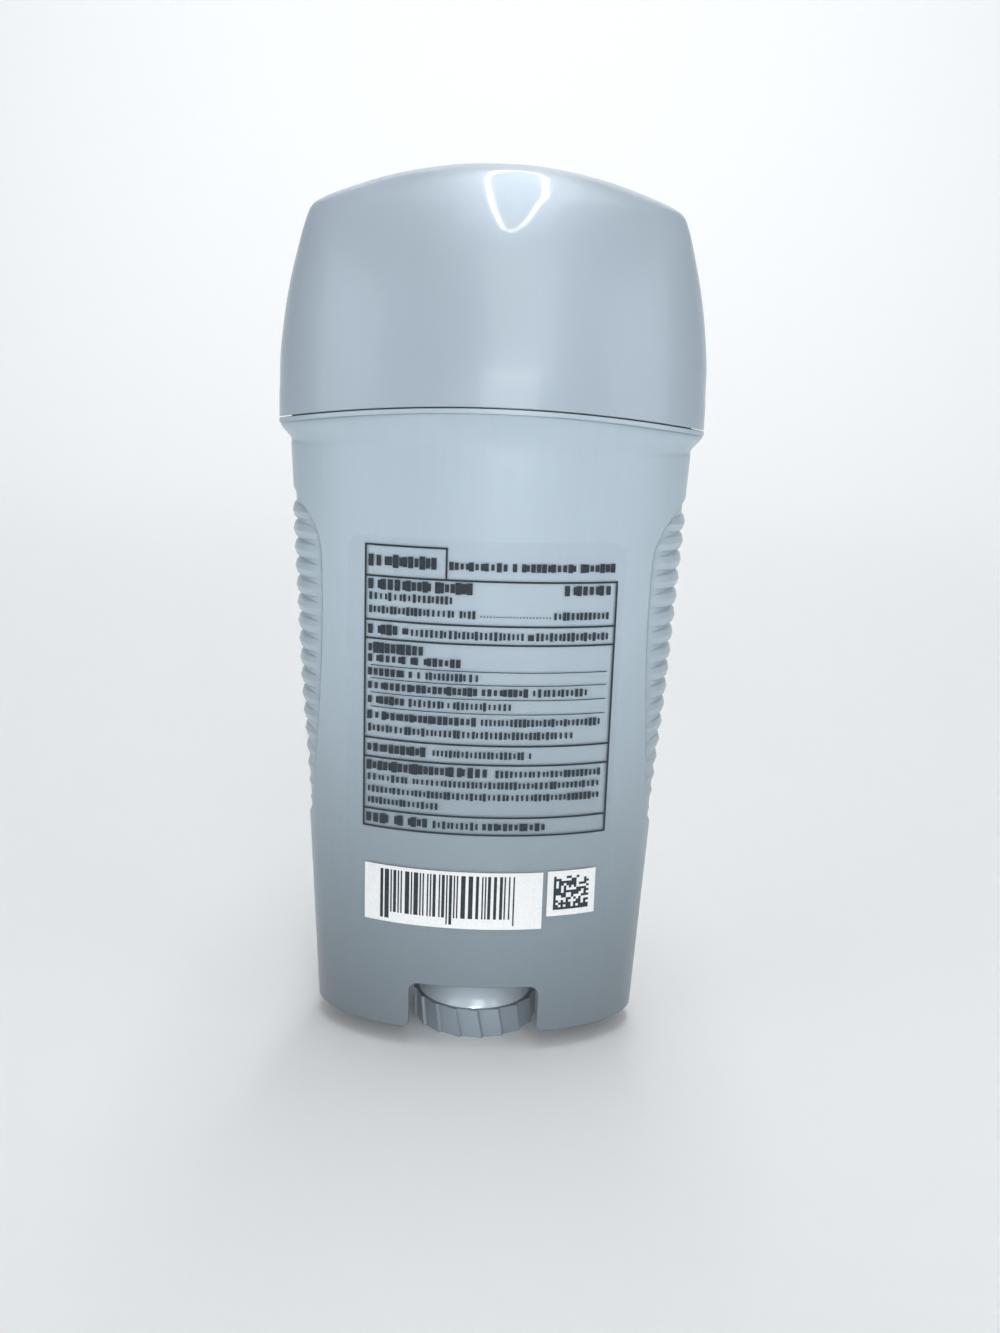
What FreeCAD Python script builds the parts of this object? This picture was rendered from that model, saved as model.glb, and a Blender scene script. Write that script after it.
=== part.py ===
"""Oval deodorant stick: pull-off cap, tapered barrel with ribbed sides, dial and screw, elevator and product.

Millimetres, +Z up. The origin is on the dial's underside, on the long axis. The wide printed face looks along -Y.
"""
import FreeCAD, Part
import math
import os

doc = FreeCAD.newDocument("deodorant_stick")
sheet = doc.addObject("Spreadsheet::Sheet", "Sizes")

SIZES = {
    # heights above the dial's underside
    "rim_height": 3.2,
    "floor_height": 12.3,
    "shoulder_height": 93.4,
    "seam_height": 97.1,
    "neck_height": 104.5,
    "cap_waist_height": 101.0,
    "overall_height": 135.0,
    # oval outlines, as half widths along X and half depths along Y
    "base_half_width": 26.0,
    "base_half_depth": 14.8,
    "shoulder_half_width": 30.7,
    "shoulder_half_depth": 17.25,
    "lip_half_width": 32.5,
    "lip_half_depth": 18.3,
    # arched parting line between cap and barrel
    "seam_rise": 2.7,
    "seam_gap": 0.2,
    "lip_band": 0.7,
    "lip_ledge": 0.15,
    "side_flare": 2.9,
    # cap profile
    "cap_side_radius": 83.0,
    "cap_crown_radius": 63.4,
    "cap_corner_radius": 3.0,
    "cap_ridge_radius": 10.0,
    "cap_wall": 1.6,
    # barrel walls
    "barrel_wall": 1.6,
    "neck_wall": 1.2,
    "neck_gap": 0.3,
    "floor_thickness": 1.5,
    "bearing_radius": 5.6,
    "bearing_depth": 2.3,
    # finger notches in the skirt
    "notch_half_width": 10.15,
    "notch_height": 11.0,
    "notch_top_radius": 1.5,
    "notch_mouth_radius": 1.2,
    # side grips
    "grip_top_height": 87.2,
    "grip_bottom_height": 34.4,
    "grip_top_radius": 9.3,
    "grip_bottom_radius": 5.0,
    "grip_side_radius": 200.0,
    "grip_recess": 0.4,
    "rib_pitch": 2.9,
    "rib_radius": 1.85,
    "rib_crest": 0.3,
    # dial and screw
    "dial_radius": 10.3,
    "dial_tooth_step": 0.45,
    "dial_rim_height": 4.7,
    "dial_dome_rise": 2.7,
    "dial_twist": 5.0,
    "dial_edge": 0.5,
    "shaft_radius": 3.2,
    "shaft_gap": 0.08,
    "shoulder_radius": 4.6,
    "end_gap": 0.2,
    "collar_radius": 4.0,
    "collar_length": 1.6,
    "core_radius": 2.4,
    "thread_depth": 1.0,
    "thread_lead": 4.0,
    "thread_root_width": 1.5,
    "thread_crest_width": 0.8,
    "thread_gap": 0.3,
    # elevator and product
    "slide_gap": 0.4,
    "nut_length": 7.5,
    "nut_wall": 1.8,
    "nut_clearance": 0.9,
    "plate_thickness": 1.4,
    "plate_flange": 4.0,
    "flange_wall": 1.2,
    "key_length": 12.0,
    "key_thickness": 1.2,
    "key_height": 5.0,
    "key_offset": 8.0,
    "head_margin": 11.4,
    "neck_margin": 6.5,
    "stick_raise": 61.0,
    "stick_dome": 9.0,
    "stick_bore_gap": 0.4,
    # clear printed film
    "film_bottom_height": 20.0,
    "film_top_height": 81.0,
    "film_half_width": 20.5,
    "film_corner_radius": 2.0,
    "film_thickness": 0.15,
    "film_gap": 0.1,
}

for row, (alias, value) in enumerate(SIZES.items(), start=1):
    sheet.set("A%d" % row, alias)
    sheet.set("B%d" % row, str(value))
    sheet.setAlias("B%d" % row, alias)
doc.recompute()

SIDES = (1, -1)
PI = math.pi


def size(alias):
    """The value that the sheet holds under an alias."""
    return float(sheet.get(alias))


def formula(text):
    """Writes the sheet's name before each alias in a formula."""
    words = []
    word = ""
    for letter in text + " ":
        if letter.isalnum() or letter == "_":
            word += letter
        else:
            words.append("Sizes." + word if word in SIZES else word)
            words.append(letter)
            word = ""
    return "".join(words).strip()


def oval(name, height, half_width, half_depth):
    """A level ellipse, its three sizes given as formulas."""
    ring = doc.addObject("Part::Ellipse", name)
    ring.MajorRadius, ring.MinorRadius = 10, 5
    ring.setExpression("Placement.Base.z", formula(height))
    ring.setExpression("MajorRadius", formula(half_width))
    ring.setExpression("MinorRadius", formula(half_depth))
    return ring


def loft(name, rings, ruled=True):
    """A solid through level ellipses."""
    skin = doc.addObject("Part::Loft", name)
    skin.Sections = rings
    skin.Solid = True
    skin.Ruled = ruled
    return skin


def cut(name, base, tool):
    result = doc.addObject("Part::Cut", name)
    result.Base, result.Tool = base, tool
    return result


def common(name, base, tool):
    result = doc.addObject("Part::Common", name)
    result.Base, result.Tool = base, tool
    return result


def fuse(name, shapes):
    result = doc.addObject("Part::MultiFuse", name)
    result.Shapes = shapes
    return result


def cylinder(name, radius, height, z="0"):
    post = doc.addObject("Part::Cylinder", name)
    post.setExpression("Radius", formula(radius))
    post.setExpression("Height", formula(height))
    post.setExpression("Placement.Base.z", formula(z))
    return post


def feature(name, shape):
    """A plain shape that the steps below cut or loft."""
    piece = doc.addObject("Part::Feature", name)
    piece.Shape = shape
    return piece


def section(name, half_width, half_depth, low, high):
    """A straight oval prism between two heights."""
    return loft(name, [
        oval(name + "_low", low, half_width, half_depth),
        oval(name + "_high", high, half_width, half_depth),
    ])


# Outlines that several pieces share
TAPER = "(({z}) - rim_height) / (shoulder_height - rim_height)"
WALL_X = "base_half_width + (shoulder_half_width - base_half_width) * " + TAPER
WALL_Y = "base_half_depth + (shoulder_half_depth - base_half_depth) * " + TAPER
NECK_X = "lip_half_width - cap_wall - neck_gap"
NECK_Y = "lip_half_depth - cap_wall - neck_gap"
FLOOR_TOP = "(floor_height + floor_thickness)"
CAVITY_TAPER = "(({z}) - floor_height - floor_thickness) / (shoulder_height - floor_height - floor_thickness)"
FLOOR_X = "(%s - barrel_wall)" % WALL_X.format(z=FLOOR_TOP)
FLOOR_Y = "(%s - barrel_wall)" % WALL_Y.format(z=FLOOR_TOP)
MOUTH_X = "(%s - neck_wall)" % NECK_X
MOUTH_Y = "(%s - neck_wall)" % NECK_Y
CAVITY_X = FLOOR_X + " + (" + MOUTH_X + " - " + FLOOR_X + ") * " + CAVITY_TAPER
CAVITY_Y = FLOOR_Y + " + (" + MOUTH_Y + " - " + FLOOR_Y + ") * " + CAVITY_TAPER
ARCH_RADIUS = "((lip_half_width ^ 2 + seam_rise ^ 2) / (2 * seam_rise))"
PLATFORM_LOW = "(floor_height + floor_thickness + end_gap + collar_length + nut_clearance + nut_length)"
PLATFORM_HIGH = "(neck_height - neck_margin)"
PLATFORM_REST = "(%s + stick_raise)" % PLATFORM_LOW
STICK_HEIGHT = "(overall_height - cap_wall - head_margin - %s)" % PLATFORM_HIGH
SCREW_TOP = "(%s + 3)" % PLATFORM_HIGH


def value(text):
    """Works a formula out in plain numbers."""
    total = doc.addObject("App::FeaturePython", "Reading")
    total.addProperty("App::PropertyFloat", "Result")
    total.setExpression("Result", formula(text))
    doc.recompute()
    result = total.Result
    doc.removeObject(total.Name)
    return result


def arch(name, drop):
    """A long cylinder along Y whose top is the arched parting line, lowered by a formula."""
    roller = doc.addObject("Part::Cylinder", name)
    roller.setExpression("Radius", formula(ARCH_RADIUS + " - (" + drop + ")"))
    roller.setExpression("Height", formula("4 * lip_half_depth"))
    roller.Placement.Rotation = FreeCAD.Rotation(FreeCAD.Vector(1, 0, 0), 90)
    roller.setExpression("Placement.Base.y", formula("2 * lip_half_depth"))
    roller.setExpression("Placement.Base.z", formula("seam_height + seam_rise - " + ARCH_RADIUS))
    return roller


# Cap

def arcs_profile(straight, waist, top, side_radius, crown_radius, corner_radius, count):
    """Distances from the axis and heights along a leaning side arc, a tight corner and a crown arc."""
    side_centre = (straight - side_radius, waist)
    crown_centre = (0.0, top - crown_radius)
    to_side, to_crown = side_radius - corner_radius, crown_radius - corner_radius
    dx, dz = crown_centre[0] - side_centre[0], crown_centre[1] - side_centre[1]
    apart = math.hypot(dx, dz)
    along = (apart ** 2 + to_side ** 2 - to_crown ** 2) / (2 * apart)
    across = math.sqrt(to_side ** 2 - along ** 2)
    ux, uz = dx / apart, dz / apart
    corners = [(side_centre[0] + ux * along - s * uz * across, side_centre[1] + uz * along + s * ux * across) for s in SIDES]
    corner = max(corners)
    lean = math.atan2(corner[1] - side_centre[1], corner[0] - side_centre[0])
    tip = math.atan2(corner[1] - crown_centre[1], corner[0] - crown_centre[0])
    side_count, corner_count, crown_count = count
    points = []
    for i in range(side_count):
        a = lean * i / side_count
        points.append((side_centre[0] + side_radius * math.cos(a), side_centre[1] + side_radius * math.sin(a)))
    for i in range(corner_count):
        a = lean + (tip - lean) * i / (corner_count - 1)
        points.append((corner[0] + corner_radius * math.cos(a), corner[1] + corner_radius * math.sin(a)))
    for i in range(1, crown_count + 1):
        a = tip + (PI / 2 - tip) * i / (crown_count + 0.2)
        points.append((crown_radius * math.cos(a), crown_centre[1] + crown_radius * math.sin(a)))
    return points


def face_depth(z, straight, waist, top, ridge_radius):
    """Half depth of the cap at a height: a wide face arc that turns tangent into the ridge's own arc."""
    rise = top - waist
    face_radius = (rise ** 2 + straight ** 2 - 2 * rise * ridge_radius) / (2 * (straight - ridge_radius))
    lean = math.atan2(rise - ridge_radius, face_radius - straight)
    if z <= waist + face_radius * math.sin(lean):
        return straight - face_radius + math.sqrt(face_radius ** 2 - (z - waist) ** 2)
    return math.sqrt(max(ridge_radius ** 2 - (z - top + ridge_radius) ** 2, 0.0))


def domed_oval(name, inset, low, count):
    """The cap's outer skin, or its inner skin when it is set in by the wall. count says how many ovals
    lie along the side, the corner and the crown."""
    straight_x, straight_y = size("lip_half_width") - inset, size("lip_half_depth") - inset
    waist, top = size("cap_waist_height"), size("overall_height") - inset
    corner_radius = max(size("cap_corner_radius") - inset, 0.5 * size("cap_corner_radius"))
    profile = arcs_profile(straight_x, waist, top, size("cap_side_radius") - inset,
                           size("cap_crown_radius") - inset, corner_radius, count)

    def ring(half_width, half_depth, z):
        return Part.Wire([Part.Ellipse(FreeCAD.Vector(0, 0, z), half_width, half_depth).toShape()])

    rings = []
    for half_width, z in profile:
        half_depth = face_depth(z, straight_y, waist, top, size("cap_ridge_radius") - inset)
        rings.append(ring(half_width, min(half_depth, 0.99 * half_width), z))
    dome = Part.makeLoft(rings, True, False)
    skirt = Part.makeLoft([ring(straight_x, straight_y, low), ring(straight_x, straight_y, waist)], True, True)
    return feature(name, skirt.fuse(dome))


def make_cap():
    below = size("seam_height") - 2 * size("seam_rise")
    outer = domed_oval("cap_outer_skin", 0.0, below, (6, 4, 6))
    inner = domed_oval("cap_inner_skin", size("cap_wall"), below - 1, (6, 4, 6))
    shell = cut("cap_shell", outer, inner)
    cap = cut("cap", shell, arch("cap_arch", "-seam_gap"))
    return cap


# Barrel

def flare_rings():
    """Ovals of the concave flare under the lip: steep at the narrow ends, gentle on the wide faces."""
    steps = 4
    rings = []
    lip_x, lip_y = "(lip_half_width - lip_ledge)", "(lip_half_depth - lip_ledge)"
    face_flare = "(seam_height + seam_rise - lip_band - shoulder_height)"
    for i in range(steps + 1):
        share = i / steps
        z = "shoulder_height + %s * %.4f" % (face_flare, share)
        climb = "min(1; %s * %.4f / side_flare)" % (face_flare, share)
        half_width = "shoulder_half_width + (%s - shoulder_half_width) * (%s) ^ 1.8" % (lip_x, climb)
        half_depth = "shoulder_half_depth + (%s - shoulder_half_depth) * %.4f" % (lip_y, share ** 1.8)
        rings.append(oval("flare_ring_%d" % i, z, half_width, half_depth))
    return rings


def leaf():
    """Centres, radii and side arc of the grip's egg outline, in the YZ plane."""
    top_radius, bottom_radius = size("grip_top_radius"), size("grip_bottom_radius")
    side_radius = size("grip_side_radius")
    top_z = size("grip_top_height") - top_radius
    bottom_z = size("grip_bottom_height") + bottom_radius
    to_top, to_bottom = side_radius - top_radius, side_radius - bottom_radius
    apart = top_z - bottom_z
    along = (apart ** 2 + to_bottom ** 2 - to_top ** 2) / (2 * apart)
    across = math.sqrt(to_bottom ** 2 - along ** 2)
    return top_z, top_radius, bottom_z, bottom_radius, side_radius, (-across, bottom_z + along)


def leaf_half_width(z):
    """Half width of the egg outline at a height."""
    top_z, top_radius, bottom_z, bottom_radius, side_radius, (centre_y, centre_z) = leaf()
    reach = [side_radius ** 2 - (z - centre_z) ** 2]
    width = centre_y + math.sqrt(max(reach[0], 0.0))
    if z > top_z:
        width = min(width, math.sqrt(max(top_radius ** 2 - (z - top_z) ** 2, 0.0)))
    if z < bottom_z:
        width = min(width, math.sqrt(max(bottom_radius ** 2 - (z - bottom_z) ** 2, 0.0)))
    return width


def leaf_prism(name, side):
    """The egg outline carried through the barrel's side along X."""
    top_z, top_radius, bottom_z, bottom_radius, side_radius, (centre_y, centre_z) = leaf()

    def touch(z, radius):
        length = math.hypot(centre_y, z - centre_z)
        return -centre_y / length * radius, z + (z - centre_z) / length * radius

    def at(y, z):
        return FreeCAD.Vector(0, y, z)

    top_y, top_touch = touch(top_z, top_radius)
    low_y, low_touch = touch(bottom_z, bottom_radius)
    middle = 0.5 * (top_touch + low_touch)
    bulge = centre_y + math.sqrt(side_radius ** 2 - (middle - centre_z) ** 2)
    edges = [
        Part.Arc(at(-top_y, top_touch), at(0, top_z + top_radius), at(top_y, top_touch)).toShape(),
        Part.Arc(at(top_y, top_touch), at(bulge, middle), at(low_y, low_touch)).toShape(),
        Part.Arc(at(low_y, low_touch), at(0, bottom_z - bottom_radius), at(-low_y, low_touch)).toShape(),
        Part.Arc(at(-low_y, low_touch), at(-bulge, middle), at(-top_y, top_touch)).toShape(),
    ]
    face = Part.Face(Part.Wire(edges))
    return feature(name, face.extrude(FreeCAD.Vector(side * 2 * size("lip_half_width"), 0, 0)))


def rib_ring(z, crest_z, fade):
    """Level circle of a rib: bent tighter than the wall, so that the rib's ends dive under it."""
    taper = (z - size("rim_height")) / (size("shoulder_height") - size("rim_height"))
    wall_x = size("base_half_width") + (size("shoulder_half_width") - size("base_half_width")) * taper
    wall_y = size("base_half_depth") + (size("shoulder_half_depth") - size("base_half_depth")) * taper
    crest = size("rib_crest") - 0.8 * (size("rib_crest") + size("grip_recess")) * fade
    reach = max(leaf_half_width(z) - size("grip_recess"), size("rib_pitch"))
    dive = wall_x * (1 - math.sqrt(1 - (reach / wall_y) ** 2)) + crest + size("grip_recess")
    bend = (reach ** 2 + dive ** 2) / (2 * dive)
    minor = size("rib_radius")
    depth = minor - math.sqrt(minor ** 2 - (z - crest_z) ** 2)
    return Part.Wire([Part.makeCircle(bend - depth, FreeCAD.Vector(bend - wall_x - crest, 0, z))])


def make_ribs():
    """The left grip's stack of rounded ribs, with a sharp valley between two ribs. The lowest ribs fade away."""
    pitch = size("rib_pitch")
    top, bottom = size("grip_top_height") - 1.35 * pitch, size("grip_bottom_height")
    count = int((top - bottom) / pitch) + 1
    steps = (0.5, 0.33, 0.0, -0.33)
    rings = []
    for i in range(count):
        crest_z = top - i * pitch
        fade = max(0.0, (i + 1 - 0.62 * count) / (0.38 * count))
        for step in steps:
            rings.append(rib_ring(crest_z + step * pitch, crest_z, fade))
    rings.append(rib_ring(crest_z - 0.5 * pitch, crest_z, 1.0))
    return feature("rib_stack", Part.makeLoft(rings, True, True))


def mirrored(name, source):
    """The same piece on the other side of the YZ plane."""
    piece = doc.addObject("Part::Mirroring", name)
    piece.Source = source
    piece.Normal = FreeCAD.Vector(1, 0, 0)
    return piece


def left_side(name):
    """A block that holds everything left of the YZ plane."""
    block = doc.addObject("Part::Box", name)
    block.setExpression("Length", formula("2 * lip_half_width"))
    block.setExpression("Width", formula("4 * lip_half_depth"))
    block.setExpression("Height", formula("overall_height"))
    block.setExpression("Placement.Base.x", formula("-2 * lip_half_width"))
    block.setExpression("Placement.Base.y", formula("-2 * lip_half_depth"))
    return block


def notch_prism():
    """Finger notch outline, rounded at its top and flared at its mouth, carried through the skirt along Y."""
    half, top, mouth = size("notch_half_width"), size("notch_height"), size("rim_height")
    top_r, mouth_r = size("notch_top_radius"), size("notch_mouth_radius")
    turn = math.sqrt(0.5)
    depth = 2 * size("base_half_depth")

    def at(x, z):
        return FreeCAD.Vector(x, -depth, z)

    def line(a, b):
        return Part.LineSegment(at(*a), at(*b)).toShape()

    def arc(a, b, c):
        return Part.Arc(at(*a), at(*b), at(*c)).toShape()

    low = mouth - mouth_r
    edges = []
    for s in SIDES:
        edges.append(line((0, low), (s * (half + mouth_r), low)))
        edges.append(line((s * (half + mouth_r), low), (s * (half + mouth_r), mouth)))
        edges.append(arc((s * (half + mouth_r), mouth), (s * (half + mouth_r * (1 - turn)), mouth + mouth_r * (1 - turn)),
                         (s * half, mouth + mouth_r)))
        edges.append(line((s * half, mouth + mouth_r), (s * half, top - top_r)))
        edges.append(arc((s * half, top - top_r), (s * (half - top_r * (1 - turn)), top - top_r * (1 - turn)),
                         (s * (half - top_r), top)))
        edges.append(line((s * (half - top_r), top), (0, top)))
    wire = Part.Wire(Part.__sortEdges__(edges))
    return feature("notch_prism", Part.Face(wire).extrude(FreeCAD.Vector(0, 2 * depth, 0)))


def make_barrel():
    tapered = loft("tapered_wall", [
        oval("rim_ring", "rim_height", "base_half_width", "base_half_depth"),
        oval("shoulder_ring", "shoulder_height", "shoulder_half_width", "shoulder_half_depth"),
    ])
    core = loft("grip_floor", [
        oval("grip_floor_low", "rim_height", "base_half_width - grip_recess", "base_half_depth - grip_recess"),
        oval("grip_floor_high", "shoulder_height", "shoulder_half_width - grip_recess", "shoulder_half_depth - grip_recess"),
    ])
    flare = loft("lip_flare", flare_rings(), ruled=False)
    slab = section("lip_slab", "lip_half_width", "lip_half_depth", "shoulder_height", "seam_height + 2 * seam_rise")
    band = cut("lip_band_ring", common("lip_top", slab, arch("seam_arch", "0")), arch("band_arch", "lip_band"))
    capped_flare = common("flare_under_seam", flare, arch("flare_arch", "0.5 * lip_band"))
    neck = section("neck_outside", NECK_X, NECK_Y, "shoulder_height", "neck_height")
    panels = [cut("grip_panel_%d" % n, leaf_prism("grip_leaf_%d" % n, side), core) for n, side in enumerate(SIDES)]
    recessed = cut("wall_with_panels", tapered, fuse("grip_panels", panels))
    outside = fuse("barrel_outside", [recessed, capped_flare, band, neck])
    hollow = fuse("barrel_hollow", [
        loft("tapered_hollow", [
            oval("hollow_floor", FLOOR_TOP, FLOOR_X, FLOOR_Y),
            oval("hollow_top", "shoulder_height", MOUTH_X, MOUTH_Y),
        ]),
        section("neck_hollow", MOUTH_X, MOUTH_Y, "shoulder_height", "neck_height + 1"),
    ])
    skirt = section("skirt_hollow", "base_half_width - barrel_wall", "base_half_depth - barrel_wall",
                    "rim_height - 1", "floor_height")
    bearing = cylinder("bearing_boss", "bearing_radius", "bearing_depth + 0.5 * floor_thickness", "floor_height - bearing_depth")
    bore = cylinder("bearing_bore", "shaft_radius + shaft_gap", "2 * floor_height", "rim_height")
    open_bottom = cut("open_bottom", cut("barrel_walls", outside, hollow), skirt)
    notched = cut("notched_walls", open_bottom, notch_prism())
    bored = cut("bored_floor", fuse("walls_and_bearing", [notched, bearing]), bore)
    ribbed = fuse("left_grip_on_walls", [bored, cut("left_ribs", make_ribs(), hollow)])
    ribbed.Refine = False
    left_half = common("left_half", ribbed, left_side("left_side"))
    whole = fuse("barrel", [left_half, mirrored("right_half", left_half)])
    whole.Refine = False
    return whole


# Dial and screw

def origin_plane(body, role):
    return next(plane for plane in body.Origin.OriginFeatures if plane.Role == role)


def sketch_on(body, name, role, corners, height="0"):
    """A closed outline of straight lines on one of the body's own origin planes, lifted by a formula."""
    drawing = body.newObject("Sketcher::SketchObject", name)
    drawing.AttachmentSupport = [(origin_plane(body, role), "")]
    drawing.MapMode = "FlatFace"
    drawing.setExpression("AttachmentOffset.Base.z", formula(height))
    points = [FreeCAD.Vector(x, y, 0) for x, y in corners]
    for start, end in zip(points, points[1:] + points[:1]):
        drawing.addGeometry(Part.LineSegment(start, end), False)
    return drawing


def saw_teeth(turn):
    """Corners of the ratchet edge: each tooth grows along the turn and steps back."""
    count = 18
    outer, inner = size("dial_radius"), size("dial_radius") - size("dial_tooth_step")
    corners = []
    for i in range(count):
        for angle, radius in ((i * 360 / count, inner), ((i + 0.92) * 360 / count, outer)):
            a = math.radians(angle + turn)
            corners.append((radius * math.cos(a), radius * math.sin(a)))
    return corners


def make_dial():
    body = doc.addObject("PartDesign::Body", "dial_screw")
    edge = size("dial_edge")
    low = sketch_on(body, "teeth_bottom", "XY_Plane", saw_teeth(0.0))
    high = sketch_on(body, "teeth_top", "XY_Plane", saw_teeth(-size("dial_twist")), "dial_rim_height")
    rim = body.newObject("PartDesign::AdditiveLoft", "ratchet_rim")
    rim.Profile = low
    rim.Sections = [high]
    rim.Ruled = True
    doc.recompute()

    root = size("dial_radius") - size("dial_tooth_step") - edge
    top = size("dial_rim_height")
    shoulder_top = size("floor_height") - size("bearing_depth") - size("end_gap")
    floor_top = value(FLOOR_TOP)
    collar_low = floor_top + size("end_gap")
    collar_high = collar_low + size("collar_length")
    core, shaft, collar = size("core_radius"), size("shaft_radius"), size("collar_radius")
    screw_top = value(SCREW_TOP)
    rise = size("dial_dome_rise")
    sphere = (root ** 2 + rise ** 2) / (2 * rise)
    neck_r = size("shoulder_radius")
    neck_z = top + rise - sphere + math.sqrt(sphere ** 2 - neck_r ** 2)
    middle_r = 0.5 * (root + neck_r)
    middle_z = top + rise - sphere + math.sqrt(sphere ** 2 - middle_r ** 2)
    turned = body.newObject("Sketcher::SketchObject", "turned_profile")
    turned.AttachmentSupport = [(origin_plane(body, "XZ_Plane"), "")]
    turned.MapMode = "FlatFace"
    path = [(0, 0.5 * top), (root, 0.5 * top), (root, top)]
    after = [(neck_r, neck_z), (neck_r, shoulder_top), (shaft, shoulder_top), (shaft, collar_low), (collar, collar_low),
             (collar - 0.2, collar_high - 0.4), (core, collar_high), (core, screw_top - 1), (core - 1, screw_top), (0, screw_top)]
    for start, end in list(zip(path, path[1:])) + list(zip(after, after[1:] + path[:1])):
        turned.addGeometry(Part.LineSegment(FreeCAD.Vector(*start, 0), FreeCAD.Vector(*end, 0)), False)
    turned.addGeometry(Part.Arc(FreeCAD.Vector(root, top, 0), FreeCAD.Vector(middle_r, middle_z, 0),
                                FreeCAD.Vector(neck_r, neck_z, 0)), False)
    spin = body.newObject("PartDesign::Revolution", "dome_and_shaft")
    spin.Profile = turned
    spin.ReferenceAxis = (turned, ["V_Axis"])
    spin.Angle = 360
    doc.recompute()

    root_half, crest_half = 0.5 * size("thread_root_width"), 0.5 * size("thread_crest_width")
    start = collar_high + 1.0
    inner, outer = core - 0.3, core + size("thread_depth")
    tooth = sketch_on(body, "thread_tooth", "XZ_Plane", [
        (inner, start), (outer, start + root_half - crest_half),
        (outer, start + root_half + crest_half), (inner, start + 2 * root_half)])
    thread = body.newObject("PartDesign::AdditiveHelix", "screw_thread")
    thread.Profile = tooth
    thread.ReferenceAxis = (tooth, ["V_Axis"])
    thread.Mode = 0
    thread.setExpression("Pitch", formula("thread_lead"))
    thread.Height = screw_top - 2.5 - start - 2 * root_half
    return body


# Elevator and product

def stick_oval(height):
    """Formulas of the hollow's outline at a height that the platform passes at its lowest, less the sliding gap."""
    return CAVITY_X.format(z=height) + " - slide_gap", CAVITY_Y.format(z=height) + " - slide_gap"


def make_elevator():
    bottom = "(%s - plate_flange - plate_thickness)" % PLATFORM_LOW
    half_width, half_depth = stick_oval(bottom)
    rest = PLATFORM_REST
    plate = section("platform_plate", half_width, half_depth, rest + " - plate_flange - plate_thickness", rest)
    dish = section("platform_dish", half_width + " - flange_wall", half_depth + " - flange_wall",
                   rest + " - plate_flange - plate_thickness - 1", rest + " - plate_thickness")
    crest = "(core_radius + thread_depth + thread_gap)"
    boss = cylinder("nut_boss", crest + " + nut_wall", "nut_length", rest + " - nut_length")
    shapes = [cut("platform_cup", plate, dish), boss]
    for n, side in enumerate(SIDES):
        key = doc.addObject("Part::Box", "anchor_key_%d" % n)
        key.setExpression("Length", formula("key_length"))
        key.setExpression("Width", formula("key_thickness"))
        key.setExpression("Height", formula("key_height + 0.5 * plate_thickness"))
        shift = "key_offset" if side > 0 else "-key_offset - key_length"
        key.setExpression("Placement.Base.x", formula(shift))
        key.setExpression("Placement.Base.y", formula("-0.5 * key_thickness"))
        key.setExpression("Placement.Base.z", formula(rest + " - 0.5 * plate_thickness"))
        shapes.append(key)
    blank = cut("nut_blank", fuse("elevator_blank", shapes),
                cylinder("nut_bore", crest, "2 * nut_length", rest + " - 1.5 * nut_length"))
    return cut_thread(blank)


def cut_thread(blank):
    """Adds most of one turn of ridge inside the nut, midway between the screw's own turns."""
    lead, gap = size("thread_lead"), size("thread_gap")
    rest = value(PLATFORM_REST)
    start = value(FLOOR_TOP) + size("end_gap") + size("collar_length") + 1.0 + 0.5 * size("thread_root_width")
    crest = size("core_radius") + size("thread_depth") + gap
    inner = size("core_radius") + gap
    ridge_half, root_half = 0.3 * lead - gap, 0.34 * lead - gap
    low = rest - size("nut_length") + root_half + 0.3
    turns = math.ceil((low - start) / lead - 0.5)
    middle = start + (turns + 0.5) * lead
    helix = Part.makeHelix(lead, 0.8 * lead, crest, 0.0)
    helix.translate(FreeCAD.Vector(0, 0, middle))
    corners = [(crest + 0.4, middle - root_half), (inner, middle - 0.6 * ridge_half),
               (inner, middle + 0.6 * ridge_half), (crest + 0.4, middle + root_half)]
    points = [FreeCAD.Vector(x, 0, z) for x, z in corners]
    profile = Part.makePolygon(points + points[:1])
    ridge = Part.Wire(helix.Edges).makePipeShell([profile], True, True)
    return fuse("elevator", [blank, feature("nut_ridge", ridge)])


def make_stick():
    """The product: tapered like the hollow it was poured in, with a worn dome and the screw's hole through it."""
    low = PLATFORM_LOW
    edge = "(%s - stick_dome)" % STICK_HEIGHT
    x_low, y_low = stick_oval(low)
    x_high, y_high = stick_oval("(%s + %s)" % (low, edge))
    rings = [oval("stick_ring_low", PLATFORM_REST, x_low, y_low),
             oval("stick_ring_edge", "%s + %s" % (PLATFORM_REST, edge), x_high, y_high)]
    side = loft("stick_side", rings)
    crown_steps = 4
    crown = []
    for i in range(crown_steps + 1):
        a = 0.97 * i / crown_steps * PI / 2
        z = "%s + %s + stick_dome * %.5f" % (PLATFORM_REST, edge, math.sin(a))
        share = "%.5f" % math.cos(a) ** 0.8
        crown.append(oval("crown_ring_%d" % i, z, "(%s) * %s" % (x_high, share), "(%s) * %s" % (y_high, share)))
    whole = fuse("stick_blank", [side, loft("stick_crown", crown, ruled=False)])
    tools = [cylinder("stick_bore", "core_radius + thread_depth + stick_bore_gap", STICK_HEIGHT + " + 2", PLATFORM_REST + " - 1")]
    for n, s in enumerate(SIDES):
        pocket = doc.addObject("Part::Box", "key_pocket_%d" % n)
        pocket.setExpression("Length", formula("key_length"))
        pocket.setExpression("Width", formula("key_thickness"))
        pocket.setExpression("Height", formula("key_height + 1"))
        pocket.setExpression("Placement.Base.x", formula("key_offset" if s > 0 else "-key_offset - key_length"))
        pocket.setExpression("Placement.Base.y", formula("-0.5 * key_thickness"))
        pocket.setExpression("Placement.Base.z", formula(PLATFORM_REST + " - 1"))
        tools.append(pocket)
    return cut("stick", whole, fuse("stick_tools", tools))


# Clear film

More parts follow.
